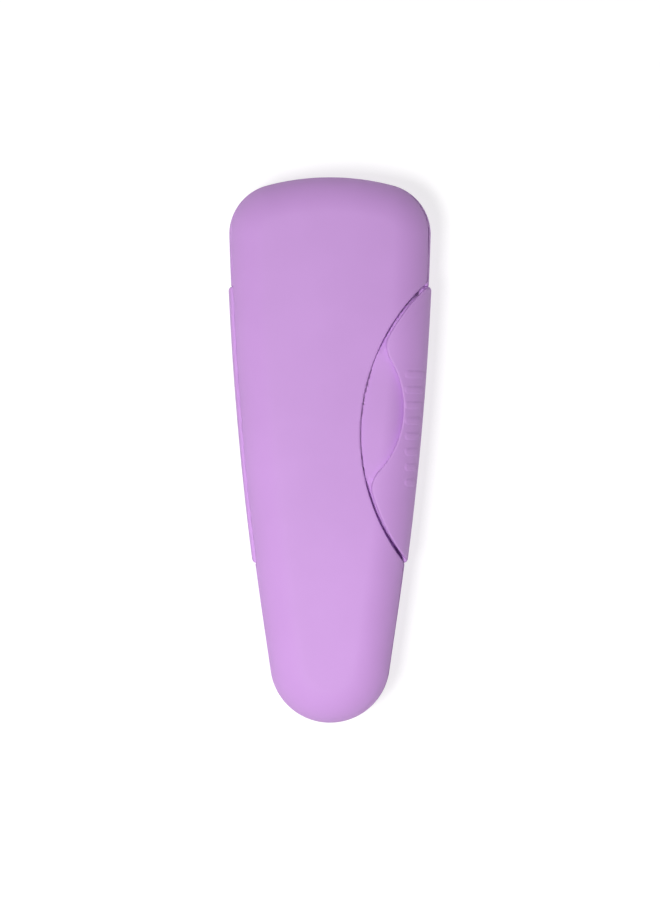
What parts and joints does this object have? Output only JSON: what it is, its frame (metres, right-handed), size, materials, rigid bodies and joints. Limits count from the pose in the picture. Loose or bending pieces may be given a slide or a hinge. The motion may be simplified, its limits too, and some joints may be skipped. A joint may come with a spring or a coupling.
{
  "type": "folding travel toothbrush",
  "caption": "Folding travel toothbrush whose tapered plastic handle is its own case: the front cover swivels aside and the brush arm folds out through the back.",
  "frame": {"origin": "under the middle of the closed case, on the plane that the case lies on", "axes": "+X to the right of the front face (the flange's side), +Y along the case to its wide end, +Z out of the front face"},
  "size_m": [0.041, 0.11, 0.0235],
  "materials": {
    "case_plastic": "matte lavender moulding with a very fine texture",
    "grip_plastic": "the same lavender moulding, slightly softer sheen",
    "arm_plastic": "matte lavender moulding, one shade deeper",
    "stem_plastic": "ivory white, satin",
    "acetal": "natural white acetal",
    "steel": "stainless, brushed",
    "brass": "plain",
    "outer_bristle": "lavender nylon filament",
    "centre_bristle": "white nylon filament"
  },
  "bodies": {
    "handle": {"back_shell": "case_plastic", "left_grip": "grip_plastic", "right_grip": "grip_plastic", "pivot_cradle": "acetal", "cradle_screws": "steel", "hinge_pin": "steel", "pin_clips": "steel", "thrust_washers": "acetal", "detent_leaf": "steel", "leaf_rivets": "brass"},
    "cover": {"front_shell": "case_plastic", "swivel_screw": "steel", "swivel_washer": "acetal"},
    "brush_arm": {"arm_knuckle": "arm_plastic", "hinge_bushes": "acetal", "brush_stem": "stem_plastic", "outer_tufts": "outer_bristle", "centre_tufts": "centre_bristle", "tuft_anchors": "brass"}
  },
  "joints": [
    {"name": "cover_swivel", "type": "hinge", "parent": "handle", "child": "cover", "pos_m": [0, -0.0429, 0.0166], "axis": [0, 0, 1], "range_deg": [0, 110]},
    {"name": "brush_fold", "type": "hinge", "parent": "handle", "child": "brush_arm", "pos_m": [0, -0.044, 0.008], "axis": [-1, 0, 0], "range_deg": [0, 180]}
  ]
}
